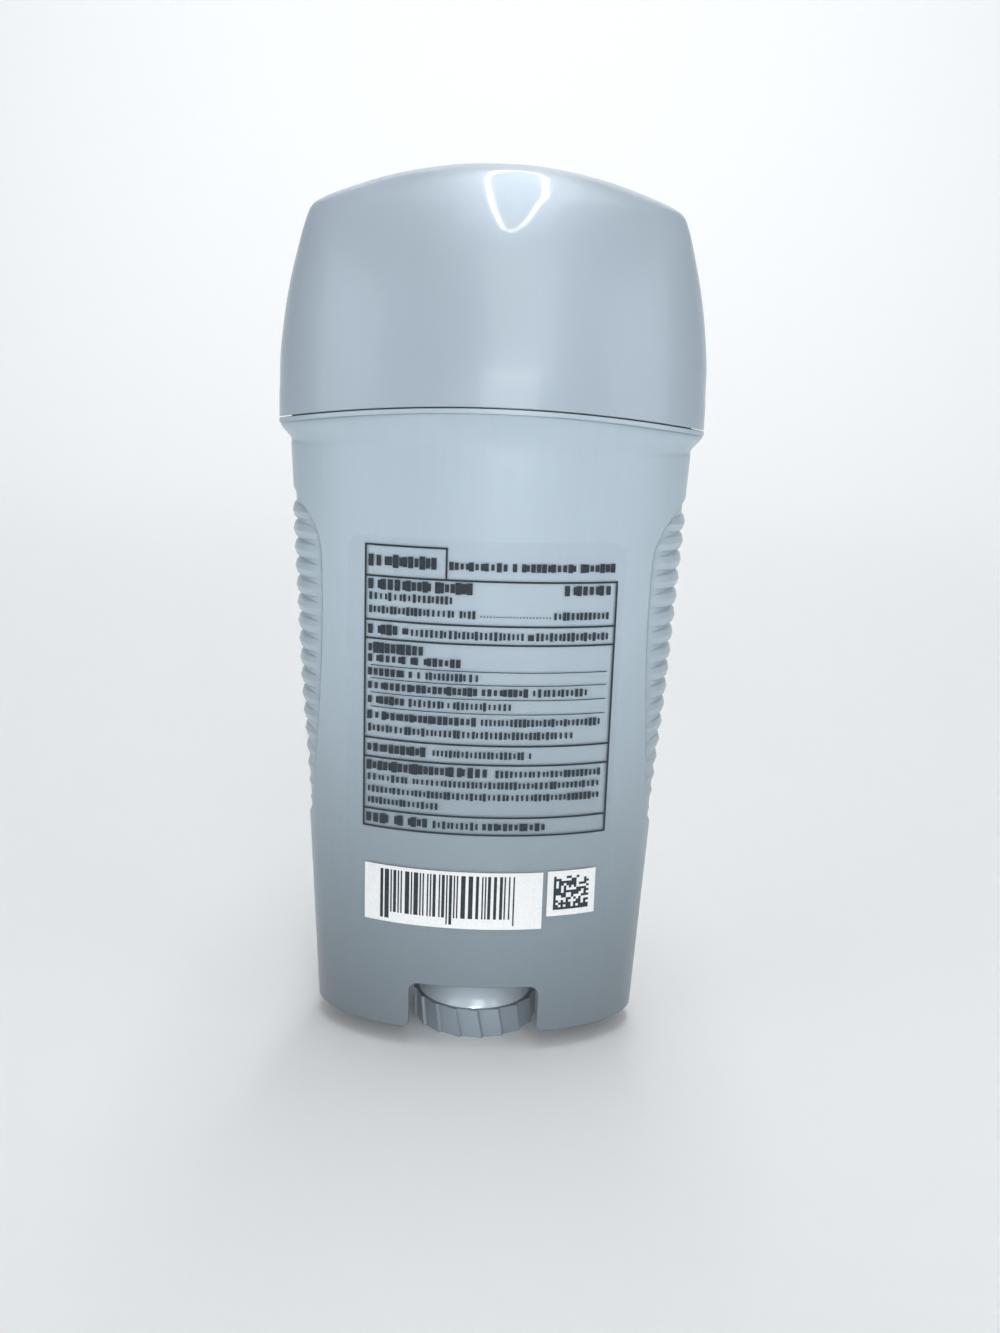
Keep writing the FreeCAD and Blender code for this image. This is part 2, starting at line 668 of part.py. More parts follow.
def make_label():
    """Thin film that follows the tapered wide face."""
    skins = []
    for name, lift in (("film_inside", "film_gap"), ("film_outside", "film_gap + film_thickness")):
        skins.append(loft(name, [
            oval(name + "_low", "rim_height", "base_half_width + " + lift, "base_half_depth + " + lift),
            oval(name + "_high", "shoulder_height", "shoulder_half_width + " + lift, "shoulder_half_depth + " + lift),
        ]))
    low, high = size("film_bottom_height"), size("film_top_height")
    half, corner = size("film_half_width"), size("film_corner_radius")
    depth = 2 * size("lip_half_depth")
    blank = Part.makeBox(2 * half, depth, high - low, FreeCAD.Vector(-half, -depth, low))
    upright = [e for e in blank.Edges if abs(e.BoundBox.YLength - depth) < 1e-6]
    outline = feature("film_outline", blank.makeFillet(corner, upright))
    return cut("back_label", common("film_face", skins[1], outline), skins[0])


NODES = {
    "cap": make_cap(),
    "barrel": make_barrel(),
    "dial_screw": make_dial(),
    "elevator": make_elevator(),
    "stick": make_stick(),
    "back_label": make_label(),
}
doc.recompute()

for obj in doc.Objects:
    if "Invalid" in obj.State or "Error" in obj.State:
        raise RuntimeError("%s failed: %s" % (obj.Name, obj.State))
os.makedirs("parts", exist_ok=True)
for node, obj in NODES.items():
    obj.Label = node
    shape = obj.Shape
    if shape.isNull() or not shape.isValid():
        raise RuntimeError("%s has no valid shape" % node)
    print("%s solids %d volume %.1f box %s" % (node, len(shape.Solids), shape.Volume, shape.BoundBox))
    shape.exportStep("parts/%s.step" % node)
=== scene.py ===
"""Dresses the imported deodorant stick: moulded plastics, a clear film with generic print, and a studio."""

import math
import random

import bmesh
import bpy
from bpy.props import FloatProperty, FloatVectorProperty, IntProperty, PointerProperty
from mathutils import Euler, Matrix, Vector


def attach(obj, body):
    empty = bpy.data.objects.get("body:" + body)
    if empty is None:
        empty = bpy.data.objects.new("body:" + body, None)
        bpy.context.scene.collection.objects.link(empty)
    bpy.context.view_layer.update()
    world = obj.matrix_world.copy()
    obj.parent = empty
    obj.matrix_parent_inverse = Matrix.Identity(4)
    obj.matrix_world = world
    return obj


bl_info = {
    "name": "Twist-up deodorant stick",
    "version": (1, 0, 0),
    "blender": (4, 5, 0),
    "location": "View3D > Sidebar > Stick",
    "description": "Finishes a twist-up deodorant stick on its packed frame",
    "category": "Object",
}

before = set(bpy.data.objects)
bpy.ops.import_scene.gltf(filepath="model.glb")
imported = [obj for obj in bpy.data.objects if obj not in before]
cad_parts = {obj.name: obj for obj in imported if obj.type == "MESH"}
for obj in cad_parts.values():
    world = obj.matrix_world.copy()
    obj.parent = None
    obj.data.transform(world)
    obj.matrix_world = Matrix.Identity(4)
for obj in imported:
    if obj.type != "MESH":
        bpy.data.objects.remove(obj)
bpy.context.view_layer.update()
MM = 0.001

# The barrel's outer wall is a straight taper between two ovals, in millimetres. The film lies on it.
RIM_HEIGHT, SHOULDER_HEIGHT = 3.2, 93.4
BASE_HALF_WIDTH, SHOULDER_HALF_WIDTH = 26.0, 30.7
BASE_HALF_DEPTH, SHOULDER_HALF_DEPTH = 14.8, 17.25
FILM_TOP_OF_WALL = 0.25

# The dial's crown, in millimetres: it rises in one round from the toothed rim to its neck under the bearing
CROWN_FOOT_RADIUS, CROWN_FOOT_HEIGHT = 9.35, 4.7
CROWN_RISE = 6.0
CROWN_ROUND_RADIUS = 10.28
CROWN_NECK_RADIUS = 4.6
CROWN_BORE_RADIUS = 3.4
CROWN_SUNK = 0.3


def from_hex(code):
    """The linear red, green and blue of an sRGB hex value."""
    parts = [int(code[i:i + 2], 16) / 255 for i in (1, 3, 5)]
    return tuple(c / 12.92 if c <= 0.04045 else ((c + 0.055) / 1.055) ** 2.4 for c in parts)


def colour_property(name, description, code):
    """A colour that a user may change, kept as its sRGB hex value's linear numbers."""
    return FloatVectorProperty(name=name, description=description, subtype="COLOR", size=3,
                               min=0.0, max=1.0, default=from_hex(code))


def length_property(name, description, millimetres):
    """A length that a user may change, given here in millimetres and kept in metres."""
    return FloatProperty(name=name, description=description, default=millimetres * MM, min=0.0,
                         subtype="DISTANCE", unit="LENGTH", precision=5)


class StickColours(bpy.types.PropertyGroup):
    """Colours of the stick's own finishes."""
    cap: colour_property("Cap", "Pearly silver blue of the cap", "#B9C7D3")
    barrel: colour_property("Barrel", "Pearly grey blue of the barrel", "#C2D3DE")
    dial: colour_property("Dial", "Colour of the dial and its screw", "#98A4AE")
    # Painted light: the crown is the dial's pearl made much lighter, where its dome catches the lamps
    crown: colour_property("Crown", "Crown of the dial, painted lighter than the dial", "#DCE9F2")
    nut: colour_property("Elevator", "Natural colour of the elevator", "#E6E8EA")
    product: colour_property("Product", "Colour of the solid product", "#EFEFE9")
    ink: colour_property("Ink", "Dark slate of the print", "#2A343C")
    white_ink: colour_property("White ink", "Field behind the bars", "#F3F6F7")
    backdrop: colour_property("Backdrop", "Studio floor and backdrop", "#F1F3F4")


class StickPrint(bpy.types.PropertyGroup):
    """Sizes of the generic print on the clear film."""
    block_pitch: length_property("Block pitch", "Distance between two blocks of a line", 0.78)
    rule: length_property("Rule", "Thickness of the frame and the heavy rules", 0.3)
    thin_rule: length_property("Thin rule", "Thickness of the light rules", 0.13)
    lift: length_property("Ink lift", "Height of the ink above the film", 0.012)
    seed: IntProperty(name="Seed", description="Seed of the blocks' widths and heights", default=7, min=0)


class StickStudio(bpy.types.PropertyGroup):
    """Camera and light."""
    lens: FloatProperty(name="Lens", description="Focal length", default=36.46, min=10.0,
                        subtype="DISTANCE_CAMERA")
    key_power: FloatProperty(name="Key", description="Power that all the lamps are set from", default=1.55,
                             min=0.0, subtype="POWER", unit="POWER")
    sky: FloatProperty(name="Sky", description="Strength of the even light from all round", default=0.34,
                       min=0.0)


def colours():
    """The colours that the panel shows."""
    return bpy.context.scene.stick_colours


def rgba(colour, share=1.0):
    """A colour for a node's socket, darkened or lightened by a share."""
    return (*(min(1.0, c * share) for c in colour), 1.0)


# Materials

def add(tree, kind, settings=None, links=None):
    """Adds a node, sets its fields and input sockets, and links its inputs to other nodes' outputs."""
    node = tree.nodes.new(kind)
    for key, value in (settings or {}).items():
        if isinstance(key, int) or key in node.inputs:
            node.inputs[key].default_value = value
        else:
            setattr(node, key, value)
    for key, source in (links or {}).items():
        tree.links.new(source, node.inputs[key])
    return node


def new_material(name):
    """An empty node material and its tree."""
    material = bpy.data.materials.new(name)
    material.use_nodes = True
    material.node_tree.nodes.clear()
    return material, material.node_tree


def finish_material(material, tree, shader):
    """Links the last shader to the material's output."""
    add(tree, "ShaderNodeOutputMaterial", links={"Surface": shader})
    return material


def pearly_polypropylene(name, colour, roughness, painted_sheen_edge, flow, painted_base_shade=1.0, polish=0.1):
    """Injection-moulded polypropylene with a pearl pigment.

    Its base colour carries a painted sheen on top of the pigment's own flop: it is brightest face on, and
    the sheen's edge share is the share of its colour left where it turns away. It has the faint streaks of
    its flow, edges rounded by a quarter of a millimetre, and a fine orange peel that softens reflections.
    Grooves and crevices are darkened by painted shade from ambient occlusion. The base shade is painted
    shade that darkens the wall towards its foot, where the light falls off. polish is the gloss skin's
    roughness."""
    material, tree = new_material(name)
    place = add(tree, "ShaderNodeTexCoord").outputs["Object"]

    # Streaks a millimetre apart and eleven long, and soft clouds of 26 mm
    streak_place = add(tree, "ShaderNodeMapping", {"Scale": (900.0, 900.0, 90.0)}, {"Vector": place})
    streaks = add(tree, "ShaderNodeTexNoise", {"Scale": 1.0, "Detail": 3.0, "Roughness": 0.6},
                  {"Vector": streak_place.outputs["Vector"]})
    streak_shade = add(tree, "ShaderNodeMapRange",
                       {"From Min": 0.3, "From Max": 0.7, "To Min": 1.0 - flow, "To Max": 1.0 + flow},
                       {"Value": streaks.outputs["Fac"]})
    cloud_place = add(tree, "ShaderNodeMapping", {"Scale": (38.0, 38.0, 24.0)}, {"Vector": place})
    clouds = add(tree, "ShaderNodeTexNoise", {"Scale": 1.0, "Detail": 2.0},
                 {"Vector": cloud_place.outputs["Vector"]})
    cloud_shade = add(tree, "ShaderNodeMapRange",
                      {"From Min": 0.3, "From Max": 0.7, "To Min": 0.975, "To Max": 1.025},
                      {"Value": clouds.outputs["Fac"]})

    # Painted shade: the wall darkens towards its foot over 75 mm, and grooves within about 2 mm of another
    # wall darken from ambient occlusion
    height = add(tree, "ShaderNodeSeparateXYZ", links={"Vector": place})
    # Painted shade towards the foot, where the light falls off
    painted_base_ramp = add(tree, "ShaderNodeMapRange",
                     {"interpolation_type": "SMOOTHSTEP", "From Min": 0.0, "From Max": 0.075,
                      "To Min": painted_base_shade, "To Max": 1.0},
                     {"Value": height.outputs["Z"]})
    # Painted shade: ambient occlusion darkens the colour in grooves and crevices
    openness = add(tree, "ShaderNodeAmbientOcclusion",
                   {"samples": 4, "only_local": True, "Distance": 0.0022})
    painted_crevice_shade = add(tree, "ShaderNodeMapRange",
                       {"From Min": 0.25, "From Max": 0.95, "To Min": 0.34, "To Max": 1.0},
                       {"Value": openness.outputs["AO"]})
    shade = streak_shade.outputs["Result"]
    for other in (cloud_shade, painted_base_ramp, painted_crevice_shade):
        product = add(tree, "ShaderNodeMath", {"operation": "MULTIPLY"},
                      {0: shade, 1: other.outputs["Result"]})
        shade = product.outputs["Value"]

    # Painted sheen: the base colour darkens where the surface turns away from the view, on top of the pearl
    # pigment's own flop
    turned = add(tree, "ShaderNodeLayerWeight", {"Blend": 0.45})
    pearl = add(tree, "ShaderNodeMix",
                {"data_type": "RGBA", "clamp_factor": True, 6: rgba(colour), 7: rgba(colour, painted_sheen_edge)},
                {0: turned.outputs["Facing"]})
    tinted = add(tree, "ShaderNodeVectorMath", {"operation": "SCALE"},
                 {"Vector": pearl.outputs[2], "Scale": shade})
    peel = add(tree, "ShaderNodeTexNoise", {"Scale": 2600.0, "Detail": 2.0}, {"Vector": place})
    edges = add(tree, "ShaderNodeBevel", {"samples": 4, "Radius": 0.00028})
    bump = add(tree, "ShaderNodeBump", {"Strength": 0.05, "Distance": 0.00004},
               {"Height": peel.outputs["Fac"], "Normal": edges.outputs["Normal"]})
    shader = add(tree, "ShaderNodeBsdfPrincipled",
                 {"Metallic": 0.18, "Roughness": roughness, "IOR": 1.49,
                  "Coat Weight": 0.4, "Coat Roughness": polish,
                  "Subsurface Weight": 0.05, "Subsurface Radius": (0.002, 0.0025, 0.003),
                  "Subsurface Scale": 0.4},
                 {"Base Color": tinted.outputs["Vector"], "Normal": bump.outputs["Normal"]})
    return finish_material(material, tree, shader.outputs["BSDF"])


def natural_polypropylene(name, colour):
    """Uncoloured moulded polypropylene: milky, slightly glossy, with light soaking in at its edges."""
    material, tree = new_material(name)
    place = add(tree, "ShaderNodeTexCoord").outputs["Object"]
    grain = add(tree, "ShaderNodeTexNoise", {"Scale": 900.0, "Detail": 3.0}, {"Vector": place})
    tone = add(tree, "ShaderNodeValToRGB", links={"Fac": grain.outputs["Fac"]})
    tone.color_ramp.elements[0].color = rgba(colour, 0.93)
    tone.color_ramp.elements[1].color = rgba(colour)
    bump = add(tree, "ShaderNodeBump", {"Strength": 0.1, "Distance": 0.00005},
               {"Height": grain.outputs["Fac"]})
    shader = add(tree, "ShaderNodeBsdfPrincipled",
                 {"Roughness": 0.38, "IOR": 1.49, "Subsurface Weight": 0.25,
                  "Subsurface Radius": (0.002, 0.002, 0.002), "Subsurface Scale": 0.5},
                 {"Base Color": tone.outputs["Color"], "Normal": bump.outputs["Normal"]})
    return finish_material(material, tree, shader.outputs["BSDF"])


def product_wax(name, colour):
    """Poured solid of wax and powder: soft, matte, a little chalky, with drag marks along its worn dome."""
    material, tree = new_material(name)
    place = add(tree, "ShaderNodeTexCoord").outputs["Object"]
    drag_place = add(tree, "ShaderNodeMapping", {"Scale": (60.0, 900.0, 900.0)}, {"Vector": place})
    drags = add(tree, "ShaderNodeTexNoise", {"Scale": 1.0, "Detail": 4.0},
                {"Vector": drag_place.outputs["Vector"]})
    chalk = add(tree, "ShaderNodeTexNoise", {"Scale": 1800.0, "Detail": 4.0, "Roughness": 0.65},
                {"Vector": place})
    height = add(tree, "ShaderNodeMath", {"operation": "ADD"},
                 {0: drags.outputs["Fac"], 1: chalk.outputs["Fac"]})
    tone = add(tree, "ShaderNodeValToRGB", links={"Fac": chalk.outputs["Fac"]})
    tone.color_ramp.elements[0].color = rgba(colour, 0.9)
    tone.color_ramp.elements[1].color = rgba(colour)
    bump = add(tree, "ShaderNodeBump", {"Strength": 0.35, "Distance": 0.00012},
               {"Height": height.outputs["Value"]})
    shader = add(tree, "ShaderNodeBsdfPrincipled",
                 {"Roughness": 0.62, "IOR": 1.44, "Subsurface Weight": 0.35,
                  "Subsurface Radius": (0.003, 0.003, 0.0025), "Subsurface Scale": 0.6,
                  "Sheen Weight": 0.1},
                 {"Base Color": tone.outputs["Color"], "Normal": bump.outputs["Normal"]})
    return finish_material(material, tree, shader.outputs["BSDF"])


def clear_film(name):
    """Clear polypropylene label film: hardly seen but for its own soft gloss."""
    material, tree = new_material(name)
    place = add(tree, "ShaderNodeTexCoord").outputs["Object"]
    waves = add(tree, "ShaderNodeTexNoise", {"Scale": 160.0, "Detail": 1.0}, {"Vector": place})
    bump = add(tree, "ShaderNodeBump", {"Strength": 0.06, "Distance": 0.0001},
               {"Height": waves.outputs["Fac"]})
    gloss = add(tree, "ShaderNodeBsdfPrincipled",
                {"Base Color": (0.55, 0.62, 0.68, 1.0), "Roughness": 0.3,
                 "IOR": 1.49, "Specular IOR Level": 0.4},
                {"Normal": bump.outputs["Normal"]})
    through = add(tree, "ShaderNodeBsdfTransparent", {"Color": (1.0, 1.0, 1.0, 1.0)})
    mixed = add(tree, "ShaderNodeMixShader", {"Fac": 0.035},
                {1: through.outputs["BSDF"], 2: gloss.outputs["BSDF"]})
    return finish_material(material, tree, mixed.outputs["Shader"])


def printing_ink(name, colour):
    """Printed ink: thin, matte, and a little uneven where it took less."""
    material, tree = new_material(name)
    place = add(tree, "ShaderNodeTexCoord").outputs["Object"]
    grain = add(tree, "ShaderNodeTexNoise", {"Scale": 2200.0, "Detail": 2.0}, {"Vector": place})
    tone = add(tree, "ShaderNodeValToRGB", links={"Fac": grain.outputs["Fac"]})
    full, thin = tone.color_ramp.elements
    full.position = 0.35
    full.color = rgba(colour)
    thin.position = 0.75
    thin.color = rgba([c * 1.25 + 0.01 for c in colour])
    shader = add(tree, "ShaderNodeBsdfPrincipled",
                 {"Roughness": 0.45, "IOR": 1.5, "Specular IOR Level": 0.35},
                 {"Base Color": tone.outputs["Color"]})
    return finish_material(material, tree, shader.outputs["BSDF"])


def seamless_paper(name, colour):
    """Studio background paper: even, matte and pale, with a barely visible fibre."""
    material, tree = new_material(name)
    place = add(tree, "ShaderNodeTexCoord").outputs["Object"]
    fibre = add(tree, "ShaderNodeTexNoise", {"Scale": 400.0, "Detail": 3.0}, {"Vector": place})
    bump = add(tree, "ShaderNodeBump", {"Strength": 0.03, "Distance": 0.0001},
               {"Height": fibre.outputs["Fac"]})
    shader = add(tree, "ShaderNodeBsdfPrincipled",
                 {"Base Color": rgba(colour), "Roughness": 0.9, "Specular IOR Level": 0.2},
                 {"Normal": bump.outputs["Normal"]})
    return finish_material(material, tree, shader.outputs["BSDF"])


def glowing_tube(name, strength):
    """A white lamp tube, which glows evenly."""
    material, tree = new_material(name)
    glow = add(tree, "ShaderNodeEmission", {"Color": (1.0, 1.0, 1.0, 1.0), "Strength": strength})
    return finish_material(material, tree, glow.outputs["Emission"])


# Meshes

def dress(node_name, material):
    """Gives a CAD node its finish and leaves its mesh as it is."""
    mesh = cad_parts[node_name].data
    mesh.materials.clear()
    mesh.materials.append(material)


def wall_point(x, z, lift):
    """The point of the printed face at a width and height, lifted off the wall, in millimetres."""
    share = (z - RIM_HEIGHT) / (SHOULDER_HEIGHT - RIM_HEIGHT)
    half_width = BASE_HALF_WIDTH + (SHOULDER_HALF_WIDTH - BASE_HALF_WIDTH) * share + lift
    half_depth = BASE_HALF_DEPTH + (SHOULDER_HALF_DEPTH - BASE_HALF_DEPTH) * share + lift
    return Vector((x, -half_depth * math.sqrt(1.0 - (x / half_width) ** 2), z)) * MM


def wrap(mesh, lift):
    """Bends a flat mesh, drawn in X and Z in millimetres, onto the film with its faces looking out."""
    for vertex in mesh.vertices:
        vertex.co = wall_point(vertex.co.x, vertex.co.z, lift)
    flat = bmesh.new()
    flat.from_mesh(mesh)
    turned = [face for face in flat.faces if face.normal.y > 0]
    bmesh.ops.reverse_faces(flat, faces=turned)
    flat.to_mesh(mesh)
    flat.free()


def add_field(flat, x0, x1, z0, z1):
    """One rectangle of ink in the flat drawing, in strips narrow enough to bend."""
    strips = max(1, math.ceil((x1 - x0) / BENDING_STRIP))
    columns = []
    for i in range(strips + 1):
        x = x0 + (x1 - x0) * i / strips
        columns.append([flat.verts.new((x, 0, z)) for z in (z0, z1)])
    for a, b in zip(columns, columns[1:]):
        flat.faces.new((a[0], b[0], b[1], a[1]))


def place_piece(name, mesh, material, body):
    """Links a finished mesh as a piece that rides on a body."""
    mesh.name = name
    mesh.materials.clear()
    mesh.materials.append(material)
    piece = bpy.data.objects.new(name, mesh)
    bpy.context.scene.collection.objects.link(piece)
    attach(piece, body)
    return piece


def revolved_rings(solid, profile, around):
    """Rings of corners, one for each step about the Z axis. The profile is radii and heights in metres."""
    rings = []
    for i in range(around):
        a = 2 * math.pi * i / around
        rings.append([solid.verts.new((r * math.cos(a), r * math.sin(a), z)) for r, z in profile])
    return rings


def skin_rings(solid, rings):
    """Closes a ring of rings of corners with four-sided faces."""
    for i, ring in enumerate(rings):
        following = rings[(i + 1) % len(rings)]
        for j in range(len(ring)):
            k = (j + 1) % len(ring)
            solid.faces.new((ring[j], following[j], following[k], ring[k]))


def dial_crown():
    """The high round crown that shows in the finger notch, turned about the dial's axis."""
    centre = CROWN_FOOT_HEIGHT + CROWN_RISE - CROWN_ROUND_RADIUS
    low = CROWN_FOOT_HEIGHT - CROWN_SUNK
    foot = math.asin(CROWN_FOOT_RADIUS / CROWN_ROUND_RADIUS)
    neck = math.asin(CROWN_NECK_RADIUS / CROWN_ROUND_RADIUS)
    steps, around = 20, 128
    profile = [(CROWN_FOOT_RADIUS, low)]
    for i in range(steps + 1):
        a = foot + (neck - foot) * i / steps
        profile.append((CROWN_ROUND_RADIUS * math.sin(a), centre + CROWN_ROUND_RADIUS * math.cos(a)))
    profile += [(CROWN_BORE_RADIUS, profile[-1][1]), (CROWN_BORE_RADIUS, low)]
    crown = bmesh.new()
    skin_rings(crown, revolved_rings(crown, [(r * MM, z * MM) for r, z in profile], around))
    bmesh.ops.recalc_face_normals(crown, faces=crown.faces)
    mesh = bpy.data.meshes.new("dial_crown")
    crown.to_mesh(mesh)
    crown.free()
    mesh.shade_smooth()
    mesh.set_sharp_from_angle(angle=math.radians(40))
    return mesh


def flat_fields(fields):
    """A flat mesh of rectangles, each given as left, right, low and high."""
    flat = bmesh.new()
    for field in fields:
        add_field(flat, *field)
    mesh = bpy.data.meshes.new("fields")
    flat.to_mesh(mesh)
    flat.free()
    return mesh


# Print layout, in millimetres on the printed face

BENDING_STRIP = 0.8
PRINT_LEFT, PRINT_RIGHT = -17.7, 19.4
FRAME_LOW, FRAME_HIGH = 36.3, 75.2
TAB_RIGHT, TAB_HIGH = -5.7, 79.8
HEAVY_RULES = (68.6, 65.8, 50.4, 47.4, 39.1)
LIGHT_RULES = (61.7, 59.7, 57.5, 55.3)
LIGHT_RULE_INSET = 0.9

# Each line of type is a height, how tall and heavy its blocks are, and the widths that its words fill
HEADINGS = (
    (77.5, 1.45, ((-16.9, -7.0),)),
    (74.0, 1.3, ((-16.9, -1.7), (12.0, 18.7))),
    (67.2, 1.25, ((-16.9, -12.6),)),
    (64.4, 1.3, ((-16.9, -8.7),)),
    (48.9, 1.2, ((-16.9, -8.1),)),
    (46.1, 1.25, ((-16.9, 1.3),)),
    (37.7, 1.2, ((-16.9, -7.6),)),
)
BOLD_LINES = (
    (77.3, 1.0, ((-5.0, 3.4), (4.2, 19.2))),
    (62.8, 1.0, ((-16.9, -3.1),)),
    (60.7, 1.0, ((-16.9, -10.2),)),
    (58.6, 1.0, ((-16.9, -0.5), (0.2, 7.0))),
    (56.4, 1.0, ((-16.9, -11.4),)),
    (54.0, 1.0, ((-16.9, -0.6),)),
    (37.6, 0.95, ((0.9, 10.4),)),
)
BODY_LINES = (
    (72.2, 0.95, ((-16.9, -4.4),)),
    (70.2, 0.95, ((-16.9, -1.0), (10.4, 18.7))),
    (67.1, 1.0, ((-10.6, 6.2), (7.9, 18.8))),
    (60.7, 0.95, ((-9.5, -0.3),)),
    (58.6, 0.95, ((7.7, 16.0),)),
    (56.4, 0.95, ((-10.7, 4.7),)),
    (54.0, 0.95, ((0.1, 18.2),)),
    (52.0, 0.95, ((-16.9, 14.1),)),
    (48.9, 0.95, ((-7.0, 8.0),)),
    (46.0, 0.9, ((2.6, 18.6),)),
    (44.2, 0.9, ((-16.9, 18.5),)),
    (42.3, 0.9, ((-16.9, 18.6),)),
    (40.5, 0.9, ((-16.9, -5.9),)),
    (37.6, 0.95, ((-6.7, 0.3),)),
)
BULLETS = ((-11.6, 67.2), (6.9, 67.0))
BULLET_HALF = 0.45

# A dotted leader: where it starts and ends, its height, and its dots
LEADER_START, LEADER_END, LEADER_HEIGHT = -0.6, 10.0, 70.0
LEADER_DOTS, DOT_WIDTH, DOT_HALF_HEIGHT = 22, 0.2, 0.1

# The shortest and longest word, and the space after each
WORD_SHORTEST, WORD_LONGEST, WORD_SPACE = 1.6, 5.6, 0.55
LINE_END = 0.9

# White patches and what lies on them, as left, right, low and high
WHITE_PATCH = (-17.4, 10.2, 20.9, 30.2)
BAR_FIELD = (-14.9, 6.8, 22.6, 29.6)
BAR_UNITS = 95
LONG_BARS = ((0, 3), (45, 49), (90, 95))
LONG_BAR_DROP = 1.1
SQUARE_PATCH = (10.9, 18.4, 22.9, 30.3)
SQUARE_MARGIN = 1.0
SQUARE_CELLS = 14

# Each group of lines, with the share of the pitch that its blocks stand apart and the share that they fill
TYPE_SETTINGS = (
    ("print_headings", HEADINGS, 1.05, 0.98),
    ("print_bold_lines", BOLD_LINES, 0.95, 0.92),
    ("print_lines", BODY_LINES, 0.8, 0.72),
)


def word_edges(lines):
    """Edges of the flat drawing: each word of each line is one edge, which carries its blocks' height."""
    chance = random.Random(bpy.context.scene.stick_print.seed)
    edges = []
    for z, height, spans in lines:
        for left, right in spans:
            x = left
            while x < right - LINE_END:
                word = min(chance.uniform(WORD_SHORTEST, WORD_LONGEST), right - x)
                if right - (x + word) < WORD_SHORTEST:
                    word = right - x
                edges.append((x, x + word - WORD_SPACE, z, height))
                x += word
    mesh = bpy.data.meshes.new("words")
    points = [(x, 0.0, z) for a, b, z, height in edges for x in (a, b)]
    mesh.from_pydata(points, [(2 * i, 2 * i + 1) for i in range(len(edges))], [])
    tall = mesh.attributes.new("tall", "FLOAT", "POINT")
    tall.data.foreach_set("value", [edge[3] for edge in edges for end in (0, 1)])
    return mesh


def type_blocks_tree():
    """Lays small upright blocks of uneven width and height along each edge, as type looks from afar."""
    tree = bpy.data.node_groups.new("Blocks along words", "GeometryNodeTree")
    face = tree.interface
    face.new_socket("Geometry", in_out="INPUT", socket_type="NodeSocketGeometry")
    for name in ("Pitch", "Fill"):
        face.new_socket(name, in_out="INPUT", socket_type="NodeSocketFloat")
    face.new_socket("Seed", in_out="INPUT", socket_type="NodeSocketInt")
    face.new_socket("Ink", in_out="INPUT", socket_type="NodeSocketMaterial")
    face.new_socket("Geometry", in_out="OUTPUT", socket_type="NodeSocketGeometry")
    given = add(tree, "NodeGroupInput").outputs
    path = add(tree, "GeometryNodeMeshToCurve", links={"Mesh": given["Geometry"]})
    even = add(tree, "GeometryNodeResampleCurve", {"mode": "LENGTH"},
               {"Curve": path.outputs["Curve"], "Length": given["Pitch"]})

    # Each block's height is its line's, and its width the pitch's filled part, both times a share by chance
    tall = add(tree, "GeometryNodeInputNamedAttribute", {"data_type": "FLOAT", "Name": "tall"})
    tall_share = add(tree, "FunctionNodeRandomValue", {"data_type": "FLOAT", 2: 0.85, 3: 1.35},
                     {"Seed": given["Seed"]})
    wide_share = add(tree, "FunctionNodeRandomValue", {"data_type": "FLOAT", 2: 0.68, 3: 1.08},
                     {"Seed": given["Seed"]})
    height = add(tree, "ShaderNodeMath", {"operation": "MULTIPLY"},
                 {0: tall.outputs["Attribute"], 1: tall_share.outputs[1]})
    reach = add(tree, "ShaderNodeMath", {"operation": "MULTIPLY"}, {0: given["Pitch"], 1: given["Fill"]})
    width = add(tree, "ShaderNodeMath", {"operation": "MULTIPLY"},
                {0: reach.outputs[0], 1: wide_share.outputs[1]})
    size = add(tree, "ShaderNodeCombineXYZ", {"Z": 1.0}, {"X": width.outputs[0], "Y": height.outputs[0]})
    block = add(tree, "GeometryNodeMeshGrid",
                {"Size X": 1.0, "Size Y": 1.0, "Vertices X": 2, "Vertices Y": 2})
    laid = add(tree, "GeometryNodeInstanceOnPoints", {"Rotation": (math.pi / 2, 0.0, 0.0)},
               {"Points": even.outputs["Curve"], "Instance": block.outputs["Mesh"],
                "Scale": size.outputs["Vector"]})
    real = add(tree, "GeometryNodeRealizeInstances", links={"Geometry": laid.outputs["Instances"]})
    inked = add(tree, "GeometryNodeSetMaterial",
                links={"Geometry": real.outputs["Geometry"], "Material": given["Ink"]})
    add(tree, "NodeGroupOutput", links={"Geometry": inked.outputs["Geometry"]})
    return tree


def grow(name, mesh, tree, values):
    """Runs a geometry tree on a mesh and returns the plain mesh. values are the tree's named inputs."""
    carrier = bpy.data.objects.new(name, mesh)
    bpy.context.scene.collection.objects.link(carrier)
    modifier = carrier.modifiers.new("grown", "NODES")
    modifier.node_group = tree
    for socket in tree.interface.items_tree:
        if socket.item_type == "SOCKET" and socket.in_out == "INPUT" and socket.name in values:
            modifier[socket.identifier] = values[socket.name]
    bpy.context.view_layer.update()
    result = bpy.data.meshes.new_from_object(carrier.evaluated_get(bpy.context.evaluated_depsgraph_get()))
    bpy.data.objects.remove(carrier)
    return result


def set_type(name, lines, pitch, fill, material):
    """Lines of small plain blocks on the film."""
    props = bpy.context.scene.stick_print
    grown = grow(name, word_edges(lines), type_blocks_tree(),
                 {"Pitch": pitch, "Fill": fill, "Seed": props.seed, "Ink": material})
    wrap(grown, FILM_TOP_OF_WALL + props.lift / MM)
    return place_piece(name, grown, material, "barrel")


